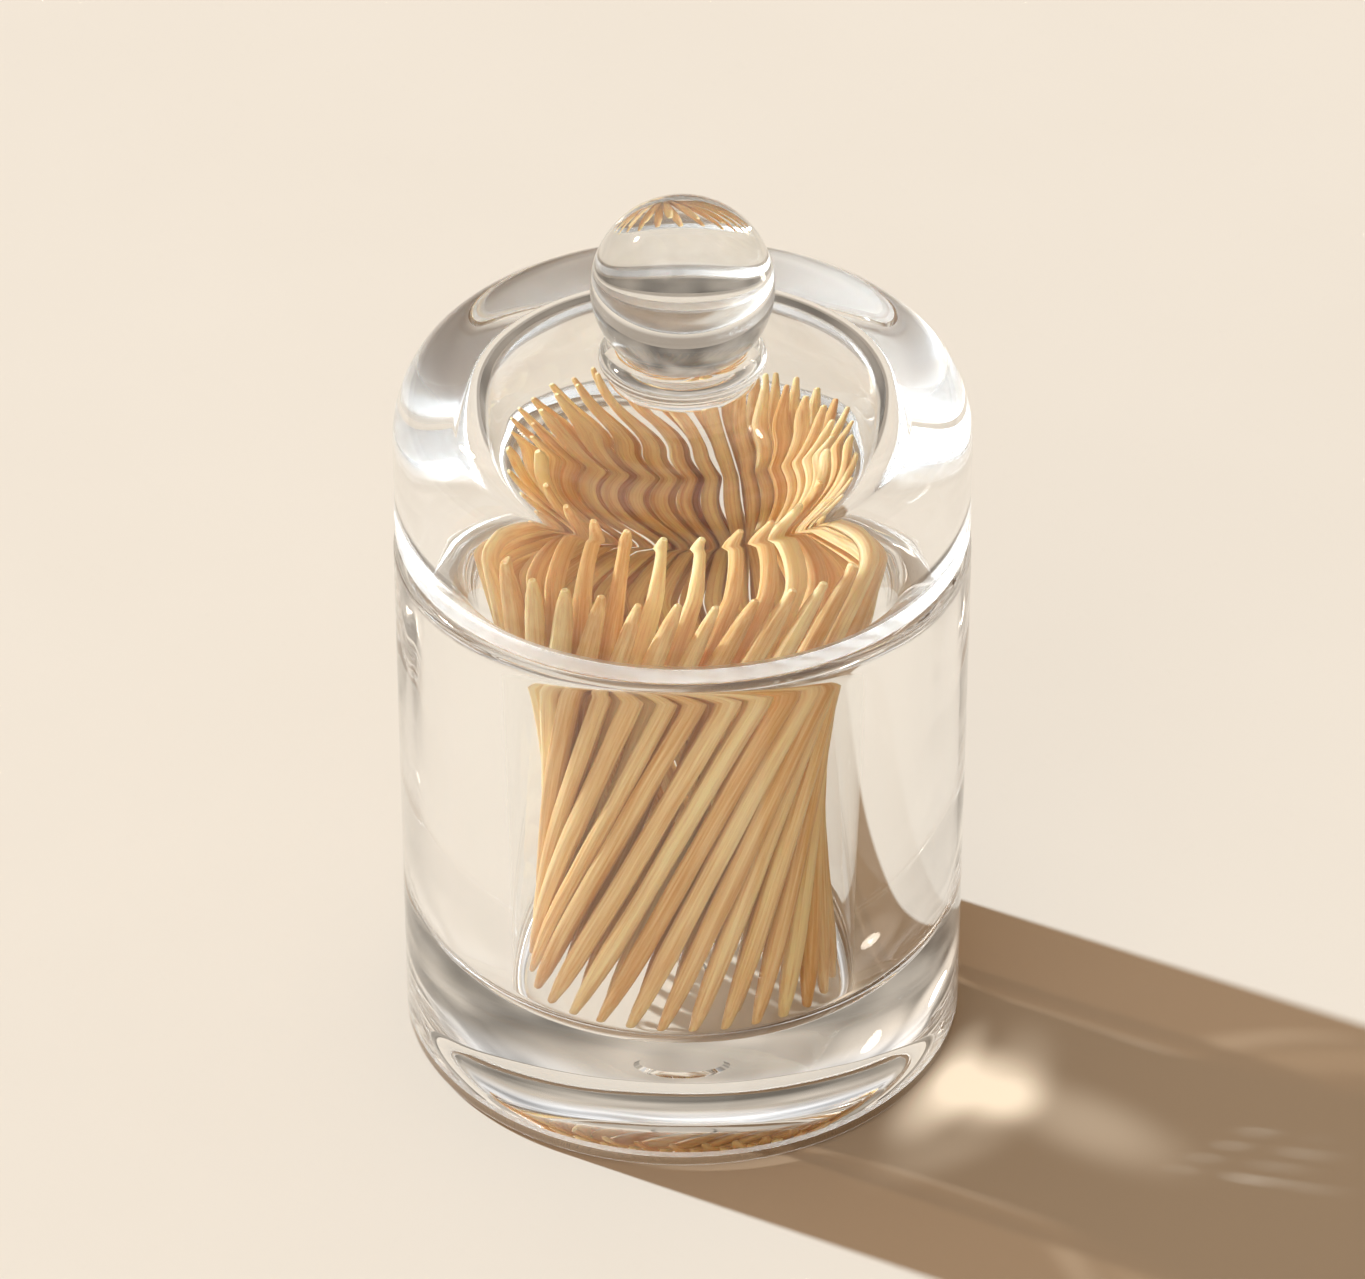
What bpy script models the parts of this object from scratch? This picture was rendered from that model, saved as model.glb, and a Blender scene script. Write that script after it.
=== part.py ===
# Round glass toothpick holder: a thick jar, a hollow drop-on lid with a ball knob, and a twisted
# bundle of loose wooden toothpicks. Metres, +Z up, origin at the middle of the foot it stands on.
import math

import bpy
import bmesh
from mathutils import Vector

mm = 0.001

# Toothpicks: two twisted rings of double-pointed sticks
stick_length = 65.0 * mm
stick_length_spread = 0.8 * mm
stick_diameter = 2.2 * mm
stick_gap = 0.3 * mm
stick_tip_radius = 0.32 * mm
stick_point_length = 3.0 * mm
stick_taper_length = 9.0 * mm
stick_point_share = 0.56
outer_ring_count = 36
inner_ring_count = 28
inner_ring_empty_count = 7
ring_slack = 0.1 * mm
twist_below_waist = math.radians(30.9)
twist_above_waist = math.radians(45.4)
outer_ring_turn = math.radians(3.0)
inner_ring_turn = math.radians(8.0)
length_step_share = 0.618
stick_sides = 6

# Jar: the bore is sized round the foot of the bundle, and the height by the tips that stand proud
bundle_clearance = 2.5 * mm
jar_wall = 11.4 * mm
floor_thickness = 11.8 * mm
sticks_above_rim = 7.1 * mm
floor_fillet = 2.0 * mm
mouth_flare_width = 4.5 * mm
mouth_flare_height = 7.8 * mm
rim_edge_round = 0.4 * mm
foot_edge_round = 1.2 * mm
foot_ring_width = 2.8 * mm
foot_recess_depth = 0.5 * mm
foot_recess_slope = 0.9 * mm
mark_radius = 3.2 * mm
mark_depth = 0.4 * mm
mark_slope = 0.4 * mm

# Lid: a hollow cap with a full rounded shoulder and a shallow dished top
seat_gap = 0.3 * mm
lid_inset = 0.2 * mm
lid_wall = 6.8 * mm
lid_edge_round = 0.5 * mm
hollow_taper = 1.8 * mm
tip_headroom = 8.2 * mm
plate_thickness = 3.2 * mm
hollow_fillet_width = 7.6 * mm
hollow_fillet_height = 4.5 * mm
hollow_fullness = 2.9
dish_depth = 1.3 * mm
dish_slope_width = 14.8 * mm
shoulder_height = 10.4 * mm
shoulder_width = 8.6 * mm
shoulder_fullness = 2.3

# Knob: a ball on a short neck with a flared collar
knob_seat_gap = 0.3 * mm
knob_foot_radius = 7.6 * mm
collar_radius = 9.2 * mm
collar_bulge = 1.5 * mm
collar_bottom = 0.4 * mm
collar_thickness = 3.0 * mm
neck_radius = 7.7 * mm
neck_length = 0.7 * mm
ball_radius = 10.0 * mm

# Mesh fineness
glass_segments = 48
knob_segments = 32
edge_steps = 1
foot_arc_steps = 3
arc_steps = 4
big_arc_steps = 5
shoulder_steps = 8
ball_steps = 11
merge_distance = 0.002 * mm
smooth_angle = math.radians(32.0)

# Colours and surfaces
glass_colour = (0.93, 0.95, 0.94, 1.0)
glass_roughness = 0.03
wood_colour = (0.78, 0.56, 0.32)
wood_shade_step = 0.05
wood_roughness = 0.6


def waist_radius(count, pitch, twist_sum, length):
    """Radius at which `count` leaning sticks of this length stand one pitch apart at the waist."""
    straight = count * pitch / math.tau
    lean = (twist_sum / length) ** 2
    return math.sqrt((1 - math.sqrt(1 - 4 * lean * straight ** 2)) / (2 * lean))


# Sizes that follow from the bundle
stick_pitch = stick_diameter + stick_gap
twist_sum = math.tan(twist_below_waist) + math.tan(twist_above_waist)
outer_waist = waist_radius(outer_ring_count, stick_pitch, twist_sum, stick_length)
inner_waist = outer_waist - stick_pitch - ring_slack


def ring_height(waist, length):
    return math.sqrt(length ** 2 - (waist * twist_sum) ** 2)


outer_foot_radius = outer_waist / math.cos(twist_below_waist)
bore_radius = outer_foot_radius + bundle_clearance
jar_radius = bore_radius + jar_wall
stick_foot_z = floor_thickness + stick_gap + stick_tip_radius * outer_waist * twist_sum / stick_length
jar_height = stick_foot_z + ring_height(outer_waist, stick_length) - sticks_above_rim
tallest_tip_z = stick_foot_z + ring_height(inner_waist, stick_length) + stick_tip_radius

lid_radius = jar_radius - lid_inset
lid_bottom = jar_height + seat_gap
hollow_foot_radius = jar_radius - lid_wall
hollow_top_radius = hollow_foot_radius - hollow_taper
hollow_top = tallest_tip_z + tip_headroom
dish_z = hollow_top + plate_thickness
crest_z = dish_z + dish_depth
crest_radius = lid_radius - shoulder_width
knob_bottom = dish_z + knob_seat_gap


def arc(centre_x, centre_z, radius_x, radius_z, start, end, steps, fullness=2.0):
    """Points of a quarter or part ellipse, angles in degrees from +X; above 2, fullness squares it."""
    points = []
    for step in range(steps + 1):
        angle = math.radians(start + (end - start) * step / steps)
        across, up = math.cos(angle), math.sin(angle)
        across = math.copysign(abs(across) ** (2 / fullness), across)
        up = math.copysign(abs(up) ** (2 / fullness), up)
        points.append((centre_x + radius_x * across, centre_z + radius_z * up))
    return points


def make_material(name, colour, roughness, transmission):
    material = bpy.data.materials.new(name)
    material.use_nodes = True
    shader = material.node_tree.nodes["Principled BSDF"]
    shader.inputs["Base Color"].default_value = colour
    shader.inputs["Roughness"].default_value = roughness
    shader.inputs["Metallic"].default_value = 0.0
    shader.inputs["Transmission Weight"].default_value = transmission
    material.diffuse_color = colour
    return material


def turned_piece(name, profile, segments, material):
    """Spins a profile, listed from axis to axis, round +Z into one closed body."""
    mesh_builder = bmesh.new()
    points = [mesh_builder.verts.new((x, 0, z)) for x, z in profile]
    edges = [mesh_builder.edges.new(pair) for pair in zip(points, points[1:])]
    bmesh.ops.spin(
        mesh_builder,
        geom=points + edges,
        cent=(0, 0, 0),
        axis=(0, 0, 1),
        angle=math.tau,
        steps=segments,
        use_merge=True,
    )
    bmesh.ops.remove_doubles(mesh_builder, verts=mesh_builder.verts, dist=merge_distance)
    bmesh.ops.recalc_face_normals(mesh_builder, faces=mesh_builder.faces)
    mesh = bpy.data.meshes.new(name)
    mesh_builder.to_mesh(mesh)
    mesh_builder.free()
    mesh.shade_smooth()
    mesh.set_sharp_from_angle(angle=smooth_angle)
    mesh.materials.append(material)
    piece = bpy.data.objects.new(name, mesh)
    bpy.context.scene.collection.objects.link(piece)
    return piece


def jar_profile():
    recess_edge = jar_radius - foot_edge_round - foot_ring_width
    mark_top = foot_recess_depth + mark_depth
    points = [(0, mark_top), (mark_radius - mark_slope, mark_top), (mark_radius, foot_recess_depth)]
    points += [(recess_edge - foot_recess_slope, foot_recess_depth), (recess_edge, 0)]
    points += arc(jar_radius - foot_edge_round, foot_edge_round,
                  foot_edge_round, foot_edge_round, -90, 0, foot_arc_steps)
    points += arc(jar_radius - rim_edge_round, jar_height - rim_edge_round,
                  rim_edge_round, rim_edge_round, 0, 90, edge_steps)
    points += arc(bore_radius + mouth_flare_width, jar_height - mouth_flare_height,
                  mouth_flare_width, mouth_flare_height, 90, 180, big_arc_steps)
    points += arc(bore_radius - floor_fillet, floor_thickness + floor_fillet,
                  floor_fillet, floor_fillet, 0, -90, arc_steps)
    points += [(0, floor_thickness)]
    return points


def lid_profile():
    """Heights are measured from the lid's bottom edge."""
    rise = dish_z - lid_bottom
    crest = crest_z - lid_bottom
    roof = hollow_top - lid_bottom
    points = [(0, rise)]
    for step in range(big_arc_steps + 1):
        share = step / big_arc_steps
        blend = (1 - math.cos(math.pi * share)) / 2
        points.append((crest_radius - dish_slope_width * (1 - share), rise + dish_depth * blend))
    points += arc(crest_radius, crest - shoulder_height,
                  shoulder_width, shoulder_height, 90, 0, shoulder_steps, shoulder_fullness)[1:]
    points += arc(lid_radius - lid_edge_round, lid_edge_round,
                  lid_edge_round, lid_edge_round, 0, -90, edge_steps)
    points += [(hollow_foot_radius, 0)]
    points += arc(hollow_top_radius - hollow_fillet_width, roof - hollow_fillet_height,
                  hollow_fillet_width, hollow_fillet_height, 0, 90, big_arc_steps, hollow_fullness)
    points += [(0, roof)]
    return points


def knob_profile():
    """Heights are measured from the knob's foot; the ball runs down to where it meets the neck."""
    collar_mid = collar_bottom + collar_thickness / 2
    neck_top = collar_bottom + collar_thickness + neck_length
    ball_centre = neck_top + math.sqrt(ball_radius ** 2 - neck_radius ** 2)
    lowest = -math.degrees(math.acos(neck_radius / ball_radius))
    points = [(0, 0), (knob_foot_radius, 0), (knob_foot_radius, collar_bottom)]
    points += arc(collar_radius - collar_bulge, collar_mid,
                  collar_bulge, collar_thickness / 2, -90, 90, arc_steps)
    points += [(neck_radius, collar_bottom + collar_thickness + neck_length / 2)]
    points += arc(0, ball_centre, ball_radius, ball_radius, lowest, 90, ball_steps)[:-1]
    points += [(0, ball_centre + ball_radius)]
    return points


def stick_profile(length):
    """One stick along +Z from its foot tip, pointed alike at both ends."""
    radius = stick_diameter / 2
    point_radius = stick_tip_radius + (radius - stick_tip_radius) * stick_point_share
    return [
        (0, 0),
        (stick_tip_radius, 0),
        (point_radius, stick_point_length),
        (radius, stick_taper_length),
        (radius, length - stick_taper_length),
        (point_radius, length - stick_point_length),
        (stick_tip_radius, length),
        (0, length),
    ]


def add_stick(number, waist, angle):
    """A stick stands on the jar's floor and leans along the hyperboloid of its ring."""
    shortfall = stick_length_spread * ((number * length_step_share) % 1)
    length = stick_length - shortfall
    foot_radius = waist / math.cos(twist_below_waist)
    top_radius = waist / math.cos(twist_above_waist)
    turn = angle + twist_below_waist + twist_above_waist
    foot = Vector((foot_radius * math.cos(angle), foot_radius * math.sin(angle), stick_foot_z))
    top = Vector((top_radius * math.cos(turn), top_radius * math.sin(turn), stick_foot_z))
    top.z += ring_height(waist, stick_length)
    shade = 1 + wood_shade_step * (2 * ((number * length_step_share) % 1) - 1)
    colour = [channel * shade for channel in wood_colour] + [1.0]
    name = "toothpick_%02d" % number
    material = make_material(name + "_wood", colour, wood_roughness, 0.0)
    stick = turned_piece(name, stick_profile(length), stick_sides, material)
    stick.rotation_mode = "QUATERNION"
    stick.rotation_quaternion = (top - foot).to_track_quat("Z", "Y")
    stick.location = foot


def add_ring(first_number, count, empty_count, waist, turn):
    """Fills a ring's places but for `empty_count` of them, spread evenly, and gives the next number."""
    number = first_number
    for place in range(count):
        if (place + 1) * empty_count // count > place * empty_count // count:
            continue
        add_stick(number, waist, turn + math.tau * place / count)
        number += 1
    return number


def build():
    for old in list(bpy.data.objects):
        bpy.data.objects.remove(old)
    jar_glass = make_material("jar_glass", glass_colour, glass_roughness, 1.0)
    lid_glass = make_material("lid_glass", glass_colour, glass_roughness, 1.0)
    knob_glass = make_material("knob_glass", glass_colour, glass_roughness, 1.0)
    turned_piece("jar", jar_profile(), glass_segments, jar_glass)
    lift = bpy.data.objects.new("lid_lift_axis", None)
    lift.location = (0, 0, jar_height)
    bpy.context.scene.collection.objects.link(lift)
    lid = turned_piece("lid", lid_profile(), glass_segments, lid_glass)
    lid.parent = lift
    lid.location = (0, 0, lid_bottom - jar_height)
    knob = turned_piece("lid_knob", knob_profile(), knob_segments, knob_glass)
    knob.parent = lift
    knob.location = (0, 0, knob_bottom - jar_height)
    number = add_ring(1, outer_ring_count, 0, outer_waist, outer_ring_turn)
    add_ring(number, inner_ring_count, inner_ring_empty_count, inner_waist, inner_ring_turn)
    ball_top = knob_bottom + collar_bottom + collar_thickness + neck_length
    ball_top += math.sqrt(ball_radius ** 2 - neck_radius ** 2) + ball_radius
    print("jar radius %.2f mm, jar height %.2f mm" % (jar_radius / mm, jar_height / mm))
    print("bore radius %.2f mm, ring waists %.2f and %.2f mm"
          % (bore_radius / mm, outer_waist / mm, inner_waist / mm))
    print("tallest tip %.2f mm, lid roof %.2f mm, dish %.2f mm, crest %.2f mm, top %.2f mm"
          % (tallest_tip_z / mm, hollow_top / mm, dish_z / mm, crest_z / mm, ball_top / mm))


build()
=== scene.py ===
# Glass toothpick holder: a heavy jar, a drop-on lid with a ball knob, and a twisted
# bundle of wooden toothpicks. Lengths in the dictionaries are millimetres.
import math
import random

import bmesh
import bpy
from mathutils import Matrix, Vector, noise


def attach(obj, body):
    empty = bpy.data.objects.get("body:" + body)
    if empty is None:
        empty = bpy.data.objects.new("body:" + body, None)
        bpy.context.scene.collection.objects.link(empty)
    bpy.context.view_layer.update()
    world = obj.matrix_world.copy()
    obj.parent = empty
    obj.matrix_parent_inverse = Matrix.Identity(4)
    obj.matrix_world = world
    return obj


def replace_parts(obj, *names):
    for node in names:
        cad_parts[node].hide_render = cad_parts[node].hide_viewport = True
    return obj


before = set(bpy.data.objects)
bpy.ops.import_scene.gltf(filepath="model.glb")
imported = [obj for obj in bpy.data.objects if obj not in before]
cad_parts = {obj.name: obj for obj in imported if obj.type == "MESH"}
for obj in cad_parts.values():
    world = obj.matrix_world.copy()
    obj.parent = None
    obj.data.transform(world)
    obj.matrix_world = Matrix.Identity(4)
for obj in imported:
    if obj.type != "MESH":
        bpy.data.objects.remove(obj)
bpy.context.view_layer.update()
mm = 0.001
print("frame loaded:", len(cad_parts), "solids")


# Shared mesh helpers
def arcPoints(x, z, across, up, first, last, steps, fullness=2.0):
    points = []                                  # a fullness above 2 makes the arc squarer
    for step in range(steps + 1):
        turn = math.radians(first + (last - first) * step / steps)
        out, over = (math.copysign(abs(part) ** (2 / fullness), part)
                     for part in (math.cos(turn), math.sin(turn)))
        points.append((x + across * out, z + up * over))
    return points


def meshPiece(name, bm, material, body, creaseAngle=30):
    mesh = bpy.data.meshes.new(name)
    bm.to_mesh(mesh)
    bm.free()
    mesh.shade_smooth()
    mesh.set_sharp_from_angle(angle=math.radians(creaseAngle))
    mesh.materials.append(material)
    piece = bpy.data.objects.new(name, mesh)
    bpy.context.scene.collection.objects.link(piece)
    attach(piece, body)
    return piece


def spunMesh(profile, segments):
    bm = bmesh.new()
    line = [bm.verts.new((max(x, 0) * mm, 0, z * mm)) for x, z in profile]
    edges = [bm.edges.new(pair) for pair in zip(line, line[1:])]
    bmesh.ops.spin(bm, geom=line + edges, axis=(0, 0, 1), cent=(0, 0, 0), angle=math.tau,
                   steps=segments, use_merge=True, use_duplicate=False)
    bmesh.ops.remove_doubles(bm, verts=bm.verts, dist=0.001 * mm)
    bmesh.ops.recalc_face_normals(bm, faces=bm.faces)
    return bm


# Materials
def newMaterial(name):
    material = bpy.data.materials.new(name)
    material.use_nodes = True
    nodes, links = material.node_tree.nodes, material.node_tree.links
    return material, nodes, links, nodes["Principled BSDF"]


def mathNode(nodes, links, operation, *parts):
    node = nodes.new("ShaderNodeMath")
    node.operation = operation
    for part, socket in zip(parts, node.inputs):
        links.new(part, socket)
    return node.outputs["Value"]


def rangeNode(nodes, links, value, first, last, curve="LINEAR"):
    node = nodes.new("ShaderNodeMapRange")
    node.interpolation_type = curve
    node.inputs["From Min"].default_value = first
    node.inputs["From Max"].default_value = last
    links.new(value, node.inputs["Value"])
    return node


glassLook = {
    "ior": 1.49,
    "tint": (0.985, 0.99, 0.985, 1.0),
    "lampSteep": (0.97, 0.965, 0.955, 1.0),      # lamp light left after a face that it meets square
    "jarGrazing": (0.30, 0.22, 0.16, 1.0),       # and after one that it meets at a slant
    "lidGrazing": (0.55, 0.48, 0.41, 1.0),
    "slantFrom": 0.30, "slantTo": 0.39,          # slants where the outer wall turns lamp light away
    "boreFrom": 0.49, "boreTo": 0.59,            # and those of every other face
    "wallFrom": 0.0285, "wallTo": 0.0312,        # the outer wall, from the middle, in metres
    "waveSize": 46.0, "waveDepth": 0.00036, "waveDrawn": (1.0, 1.0, 0.35),
    "groundBand": 0.0004, "groundRough": 0.42,
    "hairRough": 0.03, "hairSize": 260.0, "hairCurl": 2.5, "hairFrom": 0.62, "hairTo": 0.80,
}


def makeGlassSurface():
    group = bpy.data.node_groups.new("glassSurface", "ShaderNodeTree")
    for name in ("Wave Size", "Wave Depth", "Ground Height", "Ground Band", "Ground Rough",
                 "Hair Rough"):
        group.interface.new_socket(name, in_out="INPUT", socket_type="NodeSocketFloat")
    group.interface.new_socket("Normal", in_out="OUTPUT", socket_type="NodeSocketVector")
    group.interface.new_socket("Roughness", in_out="OUTPUT", socket_type="NodeSocketFloat")
    nodes, links = group.nodes, group.links
    given, made = nodes.new("NodeGroupInput"), nodes.new("NodeGroupOutput")
    coordinates = nodes.new("ShaderNodeTexCoord")

    drawn = nodes.new("ShaderNodeMapping")       # slow waves left by the mould, drawn out upwards
    drawn.inputs["Scale"].default_value = glassLook["waveDrawn"]
    links.new(coordinates.outputs["Object"], drawn.inputs["Vector"])
    flow = nodes.new("ShaderNodeTexNoise")
    flow.inputs["Detail"].default_value = 1.0
    links.new(drawn.outputs["Vector"], flow.inputs["Vector"])
    links.new(given.outputs["Wave Size"], flow.inputs["Scale"])
    bump = nodes.new("ShaderNodeBump")
    links.new(given.outputs["Wave Depth"], bump.inputs["Distance"])
    links.new(flow.outputs["Fac"], bump.inputs["Height"])
    links.new(bump.outputs["Normal"], made.inputs["Normal"])

    split = nodes.new("ShaderNodeSeparateXYZ")   # the face that stands on something is ground matt
    links.new(coordinates.outputs["Object"], split.inputs["Vector"])
    ground = mathNode(nodes, links, "COMPARE", split.outputs["Z"],
                      given.outputs["Ground Height"], given.outputs["Ground Band"])
    matt = mathNode(nodes, links, "MULTIPLY", ground, given.outputs["Ground Rough"])

    hair = nodes.new("ShaderNodeTexNoise")       # hairline wear from wiping, in patches
    hair.inputs["Scale"].default_value = glassLook["hairSize"]
    hair.inputs["Detail"].default_value = 3.0
    hair.inputs["Distortion"].default_value = glassLook["hairCurl"]
    links.new(coordinates.outputs["Object"], hair.inputs["Vector"])
    worn = rangeNode(nodes, links, hair.outputs["Fac"], glassLook["hairFrom"], glassLook["hairTo"])
    links.new(given.outputs["Hair Rough"], worn.inputs["To Max"])
    total = mathNode(nodes, links, "ADD", matt, worn.outputs["Result"])
    links.new(total, made.inputs["Roughness"])
    return group


glassSurface = makeGlassSurface()


def makeGlass(name, groundHeight, grazing):
    material, nodes, links, shader = newMaterial(name)
    shader.inputs["Transmission Weight"].default_value = 1.0
    shader.inputs["IOR"].default_value = glassLook["ior"]
    shader.inputs["Base Color"].default_value = glassLook["tint"]
    surface = nodes.new("ShaderNodeGroup")
    surface.node_tree = glassSurface
    for socket, value in (("Wave Size", "waveSize"), ("Wave Depth", "waveDepth"),
                          ("Ground Band", "groundBand"), ("Ground Rough", "groundRough"),
                          ("Hair Rough", "hairRough")):
        surface.inputs[socket].default_value = glassLook[value]
    surface.inputs["Ground Height"].default_value = groundHeight * mm
    links.new(surface.outputs["Normal"], shader.inputs["Normal"])
    links.new(surface.outputs["Roughness"], shader.inputs["Roughness"])

    # light from lamps and from the floor goes straight through,
    # weaker where it meets the wall at a slant
    facing = nodes.new("ShaderNodeLayerWeight")
    slants = []
    for first, last in (("slantFrom", "slantTo"), ("boreFrom", "boreTo")):
        slant = rangeNode(nodes, links, facing.outputs["Facing"], glassLook[first], glassLook[last],
                          "SMOOTHSTEP")
        slants.append(slant.outputs["Result"])
    coordinates = nodes.new("ShaderNodeTexCoord")
    level = nodes.new("ShaderNodeVectorMath")
    level.operation = "MULTIPLY"
    level.inputs[1].default_value = (1.0, 1.0, 0.0)
    links.new(coordinates.outputs["Object"], level.inputs[0])
    reach = nodes.new("ShaderNodeVectorMath")
    reach.operation = "LENGTH"
    links.new(level.outputs["Vector"], reach.inputs[0])
    wall = rangeNode(nodes, links, reach.outputs["Value"],
                     glassLook["wallFrom"], glassLook["wallTo"])
    outer = mathNode(nodes, links, "MULTIPLY", slants[0], wall.outputs["Result"])
    both = mathNode(nodes, links, "MAXIMUM", outer, slants[1])
    passed = nodes.new("ShaderNodeMix")
    passed.data_type = "RGBA"
    passed.inputs[6].default_value = glassLook["lampSteep"]
    passed.inputs[7].default_value = glassLook[grazing]
    links.new(both, passed.inputs["Factor"])
    clear = nodes.new("ShaderNodeBsdfTransparent")
    links.new(passed.outputs[2], clear.inputs["Color"])
    path = nodes.new("ShaderNodeLightPath")
    straight = mathNode(nodes, links, "MAXIMUM",
                        path.outputs["Is Shadow Ray"], path.outputs["Is Diffuse Ray"])
    mix = nodes.new("ShaderNodeMixShader")
    links.new(straight, mix.inputs["Fac"])
    links.new(shader.outputs["BSDF"], mix.inputs[1])
    links.new(clear.outputs["BSDF"], mix.inputs[2])
    links.new(mix.outputs["Shader"], nodes["Material Output"].inputs["Surface"])
    return material


woodLook = {
    "dark": (0.68, 0.35, 0.09, 1.0), "pale": (1.0, 0.79, 0.44, 1.0), "darkAt": 0.33, "paleAt": 0.63,
    "fibre": (3400.0, 3400.0, 75.0), "band": (650.0, 650.0, 38.0), "bandShare": 0.4,
    "grainRough": 0.65, "fibreDepth": 0.00012, "fibreStrength": 0.6,
    "rough": 0.5, "glow": 0.45, "glowReach": 0.0016, "glowTint": (1.0, 0.55, 0.25),
}


def makeWood(name):
    material, nodes, links, shader = newMaterial(name)
    shader.inputs["Roughness"].default_value = woodLook["rough"]
    shader.inputs["Subsurface Weight"].default_value = woodLook["glow"]
    shader.inputs["Subsurface Radius"].default_value = woodLook["glowTint"]
    shader.inputs["Subsurface Scale"].default_value = woodLook["glowReach"]
    place = nodes.new("ShaderNodeAttribute")     # each stick's own unbent place, shifted per stick
    place.attribute_name = "stickPlace"
    grains = []
    for size, detail in (("fibre", 5.0), ("band", 2.0)):     # fine fibres, then broad bands
        stretch = nodes.new("ShaderNodeMapping")
        stretch.inputs["Scale"].default_value = woodLook[size]
        links.new(place.outputs["Vector"], stretch.inputs["Vector"])
        grain = nodes.new("ShaderNodeTexNoise")
        grain.inputs["Scale"].default_value = 1.0
        grain.inputs["Detail"].default_value = detail
        grain.inputs["Roughness"].default_value = woodLook["grainRough"]
        links.new(stretch.outputs["Vector"], grain.inputs["Vector"])
        grains.append(grain)
    blend = nodes.new("ShaderNodeMix")
    blend.inputs["Factor"].default_value = woodLook["bandShare"]
    links.new(grains[0].outputs["Fac"], blend.inputs[2])
    links.new(grains[1].outputs["Fac"], blend.inputs[3])
    own = nodes.new("ShaderNodeAttribute")       # how pale this stick is here, against the others, with painted light that makes each stick paler towards its head
    own.attribute_name = "stickToneAndPaintedLight"
    tone = mathNode(nodes, links, "ADD", blend.outputs[0], own.outputs["Fac"])
    ramp = nodes.new("ShaderNodeValToRGB")
    ramp.color_ramp.elements[0].position = woodLook["darkAt"]
    ramp.color_ramp.elements[0].color = woodLook["dark"]
    ramp.color_ramp.elements[1].position = woodLook["paleAt"]
    ramp.color_ramp.elements[1].color = woodLook["pale"]
    links.new(tone, ramp.inputs["Fac"])
    links.new(ramp.outputs["Color"], shader.inputs["Base Color"])
    bump = nodes.new("ShaderNodeBump")
    bump.inputs["Strength"].default_value = woodLook["fibreStrength"]
    bump.inputs["Distance"].default_value = woodLook["fibreDepth"]
    links.new(grains[0].outputs["Fac"], bump.inputs["Height"])
    links.new(bump.outputs["Normal"], shader.inputs["Normal"])
    return material


jarGlass = makeGlass("jarGlass", 0.0, "jarGrazing")
lidGlass = makeGlass("lidGlass", 65.41, "lidGrazing")
toothpickWood = makeWood("toothpickWood")
print("materials made")


# Jar
jar = {
    "radius": 31.985, "height": 65.11, "segments": 256,
    "bore": 20.59, "floor": 11.8, "floorFillet": 3.2,
    "mouthOut": 4.5, "mouthUp": 7.8, "rimRound": 1.5,
    "footRound": 1.2, "footRing": 2.8, "recess": 0.5, "recessSlope": 0.9,
    "markRadius": 3.2, "markDepth": 0.4, "markSlope": 0.4,
    "footSteps": 10, "rimSteps": 12, "mouthSteps": 32, "floorSteps": 10,
}


def makeJar():
    v = jar
    inside = v["radius"] - v["footRound"] - v["footRing"]
    markTop = v["recess"] + v["markDepth"]
    profile = [(0, markTop), (v["markRadius"] - v["markSlope"], markTop),
               (v["markRadius"], v["recess"]), (inside - v["recessSlope"], v["recess"]),
               (inside, 0)]
    bend = v["footRound"]
    profile += arcPoints(v["radius"] - bend, bend, bend, bend, -90, 0, v["footSteps"])
    bend = v["rimRound"]
    profile += arcPoints(v["radius"] - bend, v["height"] - bend, bend, bend, 0, 90, v["rimSteps"])
    profile += arcPoints(v["bore"] + v["mouthOut"], v["height"] - v["mouthUp"],
                         v["mouthOut"], v["mouthUp"], 90, 180, v["mouthSteps"])
    bend = v["floorFillet"]
    profile += arcPoints(v["bore"] - bend, v["floor"] + bend, bend, bend, 0, -90, v["floorSteps"])
    profile.append((0, v["floor"]))
    solid = spunMesh(profile, v["segments"])
    piece = meshPiece("jarBody", solid, jarGlass, "jar_body")
    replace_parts(piece, "jar")


makeJar()
print("jar made")


# Lid and knob, one piece of glass
lid = {
    "radius": 31.79, "seat": 65.41, "segments": 256, "edgeRound": 1.4,
    "crest": 86.81, "shoulderHeight": 10.4, "shoulderWidth": 8.6, "shoulderFullness": 2.3,
    "dish": 85.51, "dishSlope": 14.8,
    "hollowFoot": 25.19, "hollowTop": 23.39, "roof": 82.31,
    "hollowFilletWidth": 7.6, "hollowFilletHeight": 4.5, "hollowFullness": 2.9,
    "ball": 10.0, "ballCentre": 96.29, "neck": 6.0, "collar": 9.2, "collarBulge": 1.9,
    "collarFoot": 86.1, "collarThickness": 2.9,
    "collarFootRadius": 7.6, "collarFootEase": (0.3, 0.15),
    "ballSteps": 60, "collarFrom": 110, "collarTo": -80, "collarSteps": 20, "dishSteps": 32,
    "shoulderSteps": 64, "edgeSteps": 12, "hollowSteps": 56,
}


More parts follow.
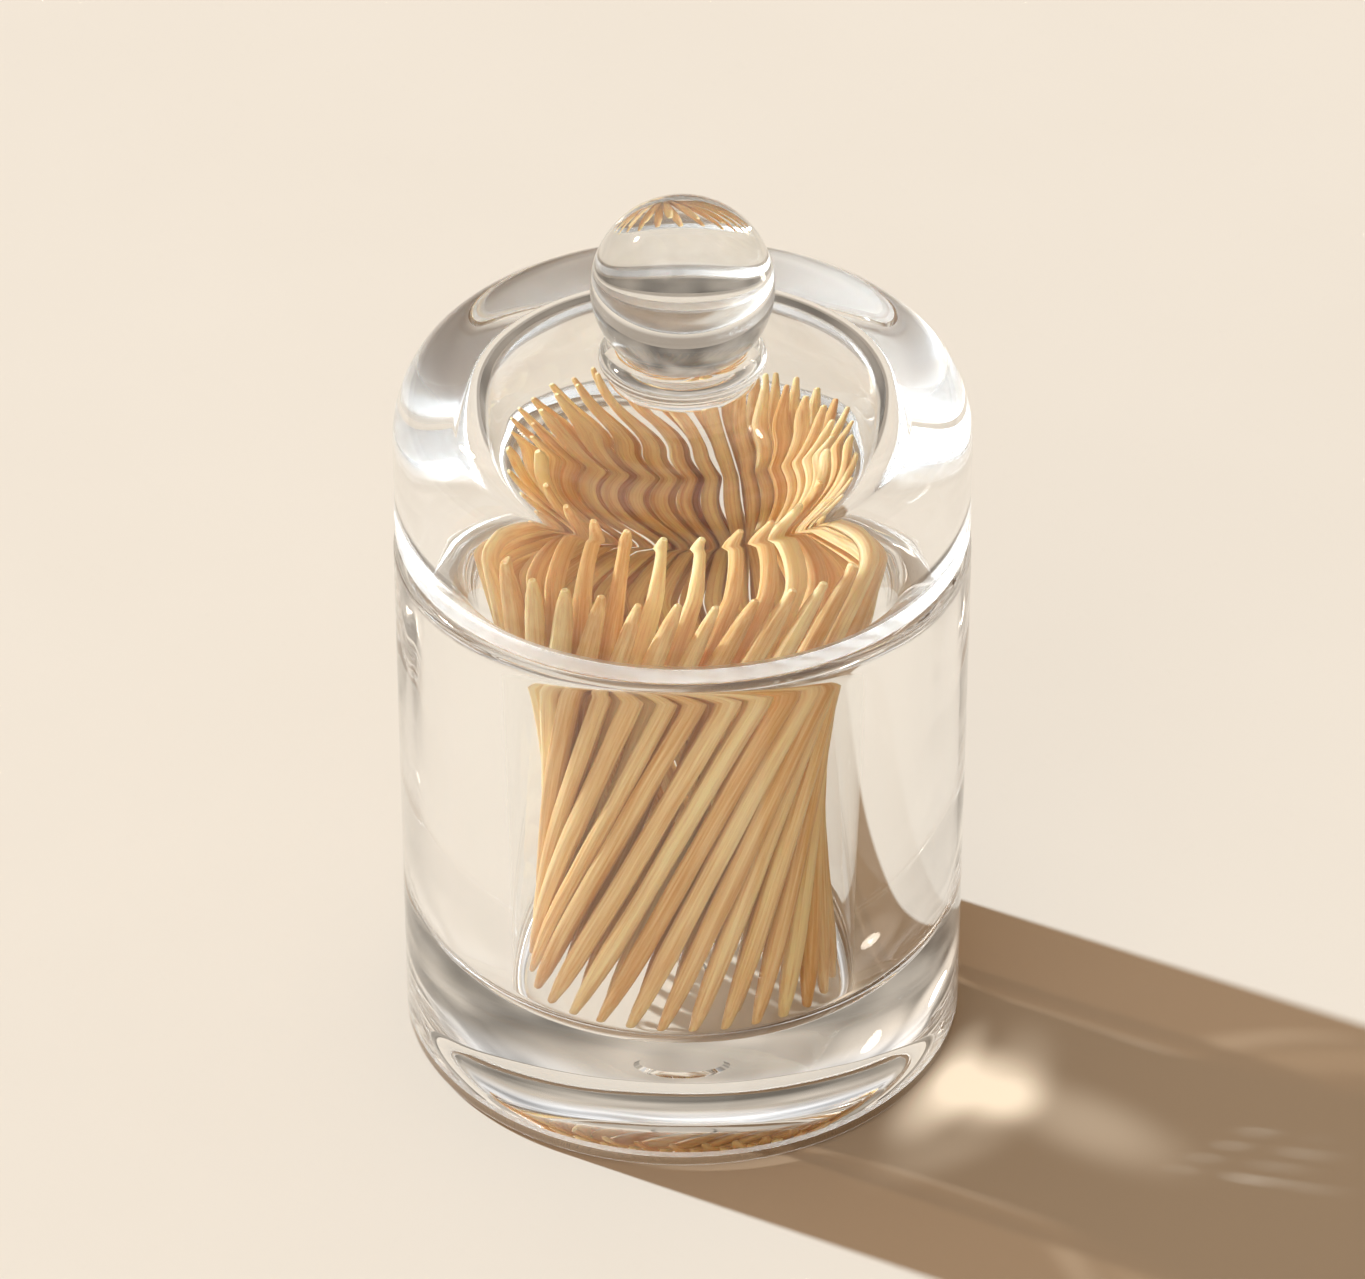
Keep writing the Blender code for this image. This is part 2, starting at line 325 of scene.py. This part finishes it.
def makeLid():
    v = lid
    neckTurn = -math.degrees(math.acos(v["neck"] / v["ball"]))
    half = v["collarThickness"] / 2
    across, up = v["collarFootEase"]
    crestRadius = v["radius"] - v["shoulderWidth"]
    profile = arcPoints(0, v["ballCentre"], v["ball"], v["ball"], 90, neckTurn, v["ballSteps"])
    profile += arcPoints(v["collar"] - v["collarBulge"], v["collarFoot"] + half,
                         v["collarBulge"], half, v["collarFrom"], v["collarTo"], v["collarSteps"])
    profile += [(v["collarFootRadius"], v["dish"] + up),
                (v["collarFootRadius"] + across, v["dish"])]
    for step in range(v["dishSteps"] + 1):       # the shallow dish rises to the crest
        share = step / v["dishSteps"]
        rise = (1 - math.cos(math.pi * share)) / 2
        profile.append((crestRadius - v["dishSlope"] * (1 - share),
                        v["dish"] + (v["crest"] - v["dish"]) * rise))
    profile += arcPoints(crestRadius, v["crest"] - v["shoulderHeight"], v["shoulderWidth"],
                         v["shoulderHeight"], 90, 0, v["shoulderSteps"], v["shoulderFullness"])[1:]
    bend = v["edgeRound"]
    profile += arcPoints(v["radius"] - bend, v["seat"] + bend, bend, bend, 0, -90, v["edgeSteps"])
    profile.append((v["hollowFoot"], v["seat"]))
    across, up = v["hollowFilletWidth"], v["hollowFilletHeight"]
    profile += arcPoints(v["hollowTop"] - across, v["roof"] - up, across, up, 0, 90,
                         v["hollowSteps"], v["hollowFullness"])
    profile.append((0, v["roof"]))
    solid = spunMesh(profile, v["segments"])
    piece = meshPiece("lidWithKnob", solid, lidGlass, "lid_body")
    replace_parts(piece, "lid", "lid_knob")


makeLid()
print("lid made")


# Toothpicks, each one in the place of its own solid
toothpick = {
    "diameter": 2.2, "sides": 12, "bow": 0.35, "flattest": 0.86,
    "knobbly": 0.08, "knobs": 9, "knobShift": 7.3,
    # the stick heads are made paler: painted light, not the wood's own colour
    "toneSpread": 0.1, "paintedHeadLight": 0.05, "seed": 7, "endSlice": 0.8,
    # from a tip: how far along, and the diameter there
    "shape": [(0.0, 0.55), (0.25, 0.9), (3.0, 1.6), (6.5, 2.0), (10.0, 2.2)],
    "middle": (0.3, 0.4, 0.5, 0.6, 0.7),         # more rings for the bow, as shares of the length
}


def stickEnds(solid):
    corners = [solid.matrix_world @ corner.co for corner in solid.data.vertices]
    low, high = min(c.z for c in corners), max(c.z for c in corners)
    depth = toothpick["endSlice"] * mm
    foot = [c for c in corners if c.z < low + depth]
    head = [c for c in corners if c.z > high - depth]
    return sum(foot, Vector()) / len(foot), sum(head, Vector()) / len(head)


def makeToothpick(number, foot, head):
    v = toothpick
    length = (head - foot).length
    dice = random.Random(v["seed"] * 1000 + number)
    stations = [(along * mm, wide / 2 * mm) for along, wide in v["shape"]]
    middle = [(length * share, v["diameter"] / 2 * mm) for share in v["middle"]]
    stations += middle + [(length - along, wide) for along, wide in reversed(stations)]
    bm = bmesh.new()
    place = bm.verts.layers.float_vector.new("stickPlace")
    # each stick's random tone, with painted light towards its head
    own = bm.verts.layers.float.new("stickToneAndPaintedLight")
    bmesh.ops.create_circle(bm, cap_ends=True, radius=stations[0][1], segments=v["sides"])
    for (before, wideBefore), (after, wideAfter) in zip(stations, stations[1:]):
        made = bmesh.ops.extrude_edge_only(bm, edges=[e for e in bm.edges if e.is_boundary])["geom"]
        ring = [item for item in made if isinstance(item, bmesh.types.BMVert)]
        bmesh.ops.scale(bm, vec=(wideAfter / wideBefore,) * 2 + (1,), verts=ring)
        bmesh.ops.translate(bm, vec=(0, 0, after - before), verts=ring)
    bmesh.ops.contextual_create(bm, geom=[e for e in bm.edges if e.is_boundary])
    bmesh.ops.recalc_face_normals(bm, faces=bm.faces)

    shift = Vector((dice.uniform(-1, 1), dice.uniform(-1, 1), dice.uniform(-1, 1)))
    tone = dice.uniform(-v["toneSpread"], v["toneSpread"])
    flat = dice.uniform(v["flattest"], 1)        # the sticks aren't quite round
    lean = dice.uniform(0, math.tau)
    bow = dice.uniform(-1, 1) * v["bow"] * mm
    for corner in bm.verts:
        corner[place] = corner.co + shift
        share = corner.co.z / length
        # painted light: each stick is paler towards its head, as if better lit there
        corner[own] = tone + (share - 0.5) * v["paintedHeadLight"]
        swell = bow * math.sin(math.pi * share)
        knob = noise.noise(Vector((number * v["knobShift"], 0, share * v["knobs"])))
        across = knob * v["knobbly"] + 1
        corner.co.x = corner.co.x * across * flat + swell * math.cos(lean)
        corner.co.y = corner.co.y * across + swell * math.sin(lean)
    spin = Matrix.Rotation(dice.uniform(0, math.pi), 4, "Z")
    turn = (head - foot).to_track_quat("Z", "Y").to_matrix().to_4x4()
    bmesh.ops.transform(bm, matrix=Matrix.Translation(foot) @ turn @ spin, verts=bm.verts)
    name = "toothpickStick_%02d" % number
    return meshPiece(name, bm, toothpickWood, "jar_body")


sticks = sorted(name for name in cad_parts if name.startswith("toothpick_"))
ends = [stickEnds(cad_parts[name]) for name in sticks]
for number, (name, (foot, head)) in enumerate(zip(sticks, ends), 1):
    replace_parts(makeToothpick(number, foot, head), name)

# the inner ring's places that the solids leave free, each one beside the stick before it
innerCount, innerFree = 28, 7
firstInner = len(sticks) - (innerCount - innerFree)
for free in range(innerFree):
    step = Matrix.Rotation(math.tau / innerCount, 3, "Z")
    foot, head = ends[firstInner + free * 3 + 2]
    makeToothpick(len(sticks) + 1 + free, step @ foot, step @ head)
print("toothpicks made:", len(sticks) + innerFree)


# Floor, light and camera
stage = {
    "floorSize": 8.0, "floorColour": (0.705, 0.629, 0.534, 1.0), "floorShift": 0.012,
    "mottleSize": 24.0, "floorRough": 0.9, "floorShine": 0.1,
    "sunTo": (-0.696, 0.370, 0.616), "sunStrength": 4.7,
    "sunColour": (0.89, 1.0, 1.1), "sunAngle": 1.5,
    "fillTo": (-0.35, -0.92, 0.17), "fillStrength": 1.1,
    "fillColour": (1.0, 0.93, 0.84), "fillAngle": 60,
    "shadeLight": (0.375, 0.272, 0.180, 1.0),    # what the room gives to matt surfaces
    # painted light: the floor gives out light in soft patches, in place of what the glass gathers
    "paintedGlowColour": (0.80, 0.68, 0.52, 1.0),
    "paintedGlows": [                                   # painted light patches: x, y, turn, half width, half depth, strength
        (34.6, -17.4, -40, 10, 10.5, 0.72), (36.6, -19.4, 0, 7.0, 6.2, 0.34),
        (29.4, -19.2, 55, 14, 5.6, 0.60), (31.9, -12.0, 69, 10.5, 3.6, 0.36),
        (39.0, -13.5, -8, 6.0, 12, 0.15), (46, -24, -36, 19, 8.5, 0.24),
        (30, -28.0, 32, 15, 6, 0.13), (0, 0, 0, 34.0, 34.0, 0.2),
    ],
    "floorEdge": (0.45, 0.75),                   # the glass finds a dim floor further off, in metres
    "floorBeyond": (0.30, 0.25, 0.20, 1.0),
    "room": [                                    # what the glass shows of the room, by height
        (0.00, (0.26, 0.22, 0.18, 1.0)), (0.30, (0.36, 0.32, 0.27, 1.0)),
        (0.62, (0.64, 0.56, 0.47, 1.0)), (0.85, (0.88, 0.88, 0.89, 1.0)),
    ],
    "backdrop": (0.85, 0.77, 0.66, 1.0),         # what the camera sees past the floor, in low views
    "roomPatches": 3.2, "roomPatchFrom": 0.40, "roomPatchTo": 1.30, "roomPatchEdges": (0.35, 0.65),
    "windows": [                                 # towards it, cosine of its edge, brightness
        ((-0.696, 0.370, 0.616), 0.9982, 120.0), ((-0.696, 0.370, 0.616), 0.97, 1.2),
        ((-0.45, -0.55, 0.70), 0.95, 0.9), ((0.75, 0.10, 0.65), 0.97, 0.7),
    ],
    "cameraElevation": 34.4, "cameraDistance": 710.4, "aimHeight": 50.18, "sensor": 36,
    "focalPixels": 6350, "pixelsAcross": 1365, "bounces": 40, "clearBounces": 32,
}


def makeFloor():
    material, nodes, links, shader = newMaterial("floorPaint")
    shader.inputs["Roughness"].default_value = stage["floorRough"]
    shader.inputs["Specular IOR Level"].default_value = stage["floorShine"]
    coordinates = nodes.new("ShaderNodeTexCoord")
    mottle = nodes.new("ShaderNodeTexNoise")
    mottle.inputs["Scale"].default_value = stage["mottleSize"]
    mottle.inputs["Detail"].default_value = 4.0
    links.new(coordinates.outputs["Object"], mottle.inputs["Vector"])
    tone = nodes.new("ShaderNodeMix")
    tone.data_type = "RGBA"
    colour, shift = stage["floorColour"], stage["floorShift"]
    tone.inputs[6].default_value = tuple(part - shift for part in colour[:3]) + (1.0,)
    tone.inputs[7].default_value = tuple(part + shift for part in colour[:3]) + (1.0,)
    links.new(mottle.outputs["Fac"], tone.inputs["Factor"])
    away = nodes.new("ShaderNodeVectorMath")     # further off it is dim, but only in the glass
    away.operation = "LENGTH"
    links.new(coordinates.outputs["Object"], away.inputs[0])
    dim = rangeNode(nodes, links, away.outputs["Value"], *stage["floorEdge"], "SMOOTHSTEP")
    path = nodes.new("ShaderNodeLightPath")
    seen = mathNode(nodes, links, "MAXIMUM",
                    path.outputs["Is Glossy Ray"], path.outputs["Is Transmission Ray"])
    share = mathNode(nodes, links, "MULTIPLY", seen, dim.outputs["Result"])
    paint = nodes.new("ShaderNodeMix")
    paint.data_type = "RGBA"
    links.new(share, paint.inputs["Factor"])
    links.new(tone.outputs[2], paint.inputs[6])
    paint.inputs[7].default_value = stage["floorBeyond"]
    links.new(paint.outputs[2], shader.inputs["Base Color"])

    paintedGlows = None                                 # painted light on the floor, where the glass gathers light beside its foot and under it
    for x, y, turn, wide, deep, strength in stage["paintedGlows"]:
        spot = nodes.new("ShaderNodeMapping")
        spot.vector_type = "TEXTURE"
        spot.inputs["Location"].default_value = (x * mm, y * mm, 0)
        spot.inputs["Rotation"].default_value = (0, 0, math.radians(turn))
        spot.inputs["Scale"].default_value = (wide * mm, deep * mm, 1)
        links.new(coordinates.outputs["Object"], spot.inputs["Vector"])
        reach = nodes.new("ShaderNodeVectorMath")
        reach.operation = "LENGTH"
        links.new(spot.outputs["Vector"], reach.inputs[0])
        fade = rangeNode(nodes, links, reach.outputs["Value"], 1.0, 0.0, "SMOOTHERSTEP")
        fade.inputs["To Max"].default_value = strength
        light = fade.outputs["Result"]
        paintedGlows = mathNode(nodes, links, "ADD", paintedGlows, light) if paintedGlows else light
    # the colour of the painted light, given out by the floor
    glow = nodes.new("ShaderNodeMix")
    glow.data_type = "RGBA"
    glow.inputs[6].default_value = (0.0, 0.0, 0.0, 1.0)
    glow.inputs[7].default_value = stage["paintedGlowColour"]
    links.new(paintedGlows, glow.inputs["Factor"])
    links.new(glow.outputs[2], shader.inputs["Emission Color"])
    shader.inputs["Emission Strength"].default_value = 1.0

    bm = bmesh.new()
    bmesh.ops.create_grid(bm, x_segments=4, y_segments=4, size=stage["floorSize"])
    mesh = bpy.data.meshes.new("floor")
    bm.to_mesh(mesh)
    bm.free()
    mesh.materials.append(material)
    floor = bpy.data.objects.new("floor", mesh)
    bpy.context.scene.collection.objects.link(floor)


def addSun(name, toLamp, strength, colour, angle):
    lamp = bpy.data.lights.new(name, "SUN")
    lamp.energy = strength
    lamp.color = colour
    lamp.angle = math.radians(angle)
    sun = bpy.data.objects.new(name, lamp)
    sun.rotation_euler = Vector(toLamp).to_track_quat("Z", "Y").to_euler()
    bpy.context.scene.collection.objects.link(sun)
    return sun


def makeRoomLight():
    world = bpy.data.worlds.new("room")
    world.use_nodes = True
    world.cycles.sampling_method = "NONE"        # matt surfaces get the even shade light only
    bpy.context.scene.world = world
    nodes, links = world.node_tree.nodes, world.node_tree.links
    shade = nodes["Background"]
    shade.inputs["Color"].default_value = stage["shadeLight"]
    coordinates = nodes.new("ShaderNodeTexCoord")
    split = nodes.new("ShaderNodeSeparateXYZ")
    links.new(coordinates.outputs["Generated"], split.inputs["Vector"])
    ramp = nodes.new("ShaderNodeValToRGB")
    stops = ramp.color_ramp.elements
    for height, colour in stage["room"][1:-1]:
        stops.new(height)
    for stop, (height, colour) in zip(stops, stage["room"]):
        stop.position, stop.color = height, colour
    links.new(split.outputs["Z"], ramp.inputs["Fac"])
    patches = nodes.new("ShaderNodeTexNoise")    # furniture and walls, out of focus
    patches.inputs["Scale"].default_value = stage["roomPatches"]
    patches.inputs["Detail"].default_value = 1.0
    links.new(coordinates.outputs["Generated"], patches.inputs["Vector"])
    light = rangeNode(nodes, links, patches.outputs["Fac"], *stage["roomPatchEdges"])
    light.inputs["To Min"].default_value = stage["roomPatchFrom"]
    light.inputs["To Max"].default_value = stage["roomPatchTo"]
    strength = light.outputs["Result"]
    for toWindow, edge, bright in stage["windows"]:
        aim = nodes.new("ShaderNodeVectorMath")
        aim.operation = "DOT_PRODUCT"
        aim.inputs[1].default_value = Vector(toWindow).normalized()
        links.new(coordinates.outputs["Generated"], aim.inputs[0])
        full = (edge + 3) / 4                    # the cosine where its soft edge ends
        pane = rangeNode(nodes, links, aim.outputs["Value"], edge, full, "SMOOTHSTEP")
        pane.inputs["To Max"].default_value = bright
        strength = mathNode(nodes, links, "ADD", strength, pane.outputs["Result"])
    room = nodes.new("ShaderNodeBackground")
    links.new(ramp.outputs["Color"], room.inputs["Color"])
    links.new(strength, room.inputs["Strength"])
    path = nodes.new("ShaderNodeLightPath")
    backdrop = nodes.new("ShaderNodeBackground")
    backdrop.inputs["Color"].default_value = stage["backdrop"]
    shown = room
    for ray, other in (("Is Camera Ray", backdrop), ("Is Diffuse Ray", shade)):
        mix = nodes.new("ShaderNodeMixShader")
        links.new(path.outputs[ray], mix.inputs["Fac"])
        links.new(shown.outputs[0], mix.inputs[1])
        links.new(other.outputs["Background"], mix.inputs[2])
        shown = mix
    links.new(shown.outputs[0], nodes["World Output"].inputs["Surface"])


def makeCamera():
    scene = bpy.context.scene
    elevation = math.radians(stage["cameraElevation"])
    away = stage["cameraDistance"] * mm
    lens = bpy.data.cameras.new("camera")
    lens.sensor_width = stage["sensor"]
    lens.lens = stage["focalPixels"] / stage["pixelsAcross"] * stage["sensor"]
    camera = bpy.data.objects.new("camera", lens)
    height = stage["aimHeight"] * mm + away * math.sin(elevation)
    camera.location = (0, -away * math.cos(elevation), height)
    camera.rotation_euler = (math.pi / 2 - elevation, 0, 0)
    scene.collection.objects.link(camera)
    scene.camera = camera
    scene.view_settings.view_transform = "Standard"
    # enough bounces for light that runs round inside the thick glass
    scene.cycles.max_bounces = stage["bounces"]
    scene.cycles.transmission_bounces = stage["bounces"]
    scene.cycles.glossy_bounces = stage["bounces"]
    scene.cycles.transparent_max_bounces = stage["clearBounces"]


makeFloor()
addSun("sun", stage["sunTo"], stage["sunStrength"], stage["sunColour"], stage["sunAngle"])
fill = addSun("fill", stage["fillTo"], stage["fillStrength"], stage["fillColour"],
              stage["fillAngle"])
fill.visible_glossy = fill.visible_transmission = False
makeRoomLight()
makeCamera()
print("floor, light and camera made")
